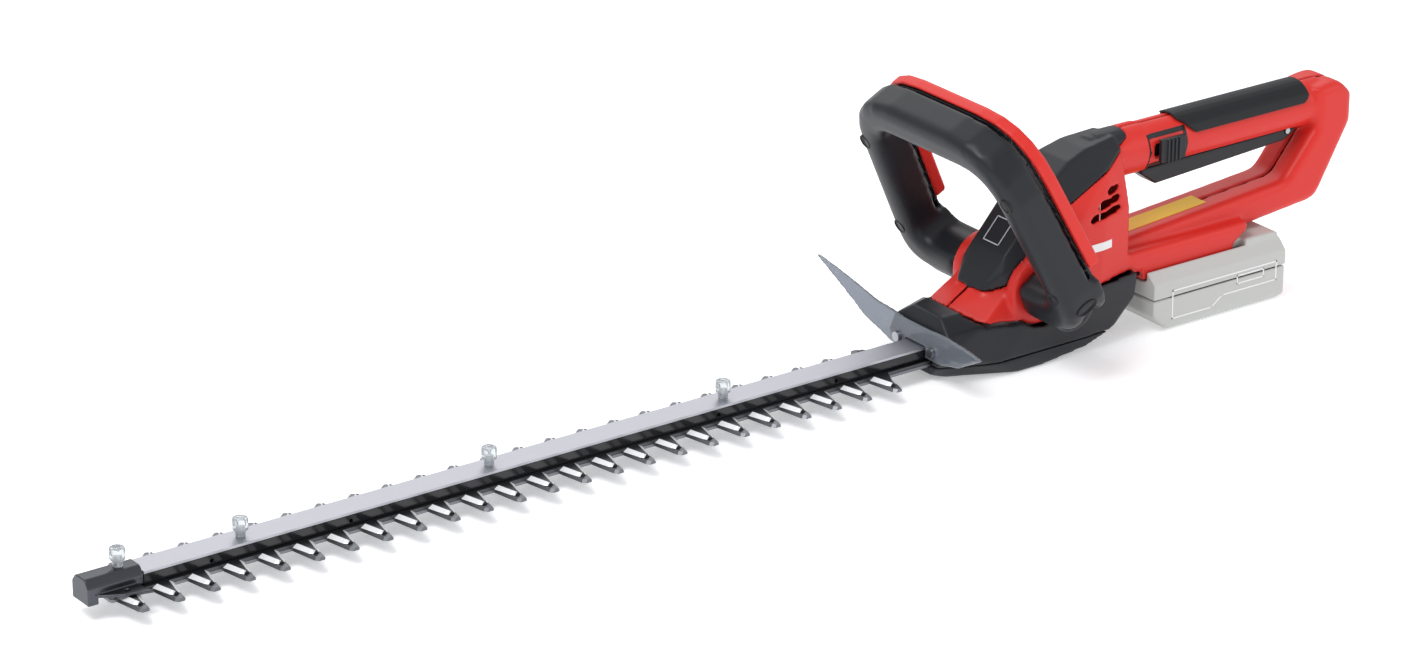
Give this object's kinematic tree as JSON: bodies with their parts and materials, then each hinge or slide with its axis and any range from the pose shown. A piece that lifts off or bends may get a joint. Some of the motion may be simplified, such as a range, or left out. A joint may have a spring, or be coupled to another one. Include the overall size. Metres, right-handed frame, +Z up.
{
  "type": "hedge trimmer",
  "caption": "Cordless hedge trimmer with double-acting toothed blades, clear hand shield, tilted D-shaped front handle with switch bar, closed rear handle with trigger, and slide-on battery.",
  "frame": {"origin": "on the flat underside of the gearcase, below the crank axis", "axes": "+X along the blades to their tip, +Y to the tool's left, +Z up"},
  "size_m": [0.9708, 0.1774, 0.1872],
  "materials": {
    "dark_blade_steel": "dark ground",
    "bright_blade_steel": "ground and brushed",
    "rail_black": "gloss black",
    "strip_aluminium": "satin",
    "guard_metal": "satin dark grey",
    "steel": "satin",
    "plate_aluminium": "satin",
    "rotor_copper": "laminations and copper windings",
    "black_plastic": "fine texture",
    "red_plastic": "satin",
    "smoke_shield": "clear smoke grey",
    "clear_stud": "clear moulded",
    "grip_rubber": "soft touch",
    "pale_grey_plastic": "fine texture",
    "board_green": "solder mask",
    "cell_sleeve": "shrink sleeve"
  },
  "bodies": {
    "body": {"blade_rail": "rail_black", "cover_strip": "strip_aluminium", "tip_guard": "guard_metal", "lower_bearing": "steel", "upper_bearing": "steel", "gearbox_plate": "plate_aluminium", "motor_can": "steel", "motor_end_cap": "black_plastic", "gear_housing": "black_plastic", "bottom_cover": "black_plastic", "housing_left": "red_plastic", "housing_right": "red_plastic", "top_hood": "black_plastic", "front_handle_front_shell": "black_plastic", "front_handle_rear_shell": "black_plastic", "handle_bolt_left": "steel", "handle_bolt_right": "steel", "blade_shield": "smoke_shield", "shield_screw_left": "steel", "shield_screw_right": "steel", "grip_overmold": "grip_rubber", "trigger_pin": "steel", "trigger_spring": "steel", "rear_switch": "black_plastic", "controller_board": "board_green", "front_switch": "black_plastic", "terminal_block": "black_plastic", "stud_1": "clear_stud", "blade_bolt_1": "steel", "stud_2": "clear_stud", "blade_bolt_2": "steel", "stud_3": "clear_stud", "blade_bolt_3": "steel", "stud_4": "clear_stud", "blade_bolt_4": "steel"},
    "crank": {"crank_gear": "steel", "gear_axle": "steel", "upper_cam": "steel", "lower_cam": "steel"},
    "upper_blade": {"upper_blade": "bright_blade_steel"},
    "lower_blade": {"lower_blade": "dark_blade_steel"},
    "motor_rotor": {"motor_rotor": "rotor_copper", "motor_pinion": "steel", "motor_fan": "black_plastic"},
    "trigger": {"trigger": "black_plastic"},
    "lock_off": {"lock_off_slider": "black_plastic"},
    "switch_bar": {"front_switch_bar": "red_plastic"},
    "battery": {"battery_base": "pale_grey_plastic", "battery_lid": "pale_grey_plastic", "battery_cell_1": "cell_sleeve", "battery_cell_2": "cell_sleeve", "battery_cell_3": "cell_sleeve", "battery_cell_4": "cell_sleeve", "battery_cell_5": "cell_sleeve"},
    "battery_latch": {"battery_latch": "black_plastic"}
  },
  "joints": [
    {"name": "crank_turn", "type": "hinge", "parent": "body", "child": "crank", "pos_m": [0, 0, 0.02], "axis": [0, 0, 1], "range_deg": [-90.5, 90.5]},
    {"name": "upper_blade_slide", "type": "slide", "parent": "body", "child": "upper_blade", "axis": [1, 0, 0], "range_m": [-0.006, 0.006]},
    {"name": "lower_blade_slide", "type": "slide", "parent": "body", "child": "lower_blade", "axis": [1, 0, 0], "range_m": [-0.0061, 0.0061]},
    {"name": "motor_spin", "type": "hinge", "parent": "body", "child": "motor_rotor", "pos_m": [-0.033, 0, 0.05], "axis": [0, 0, 1], "range_deg": [-460, 460]},
    {"name": "trigger_pull", "type": "hinge", "parent": "body", "child": "trigger", "pos_m": [-0.229, 0, 0.104], "axis": [0, -1, 0], "range_deg": [0, 2.2], "stiffness_Nm_per_rad": 6, "springref_deg": -5.73, "deforming": ["trigger_spring"]},
    {"name": "lock_off_slide", "type": "slide", "parent": "body", "child": "lock_off", "axis": [1, 0, 0], "range_m": [0, 0.005], "stiffness_N_per_m": 300},
    {"name": "switch_bar_press", "type": "hinge", "parent": "body", "child": "switch_bar", "pos_m": [0.00215, 0, 0.08784], "axis": [0, 1, 0], "range_deg": [0, 2], "stiffness_Nm_per_rad": 8, "springref_deg": -8.59},
    {"name": "battery_slide", "type": "slide", "parent": "body", "child": "battery", "axis": [-1, 0, 0], "range_m": [0, 0.09]},
    {"name": "battery_latch_press", "type": "slide", "parent": "battery", "child": "battery_latch", "axis": [1, 0, 0], "range_m": [0, 0.003], "stiffness_N_per_m": 800}
  ],
  "couplings": [
    {"joint": "crank_turn", "follows": "upper_blade_slide", "rad_per_m": -261.8},
    {"joint": "lower_blade_slide", "follows": "upper_blade_slide", "ratio": -1},
    {"joint": "motor_spin", "follows": "upper_blade_slide", "rad_per_m": 1309}
  ]
}
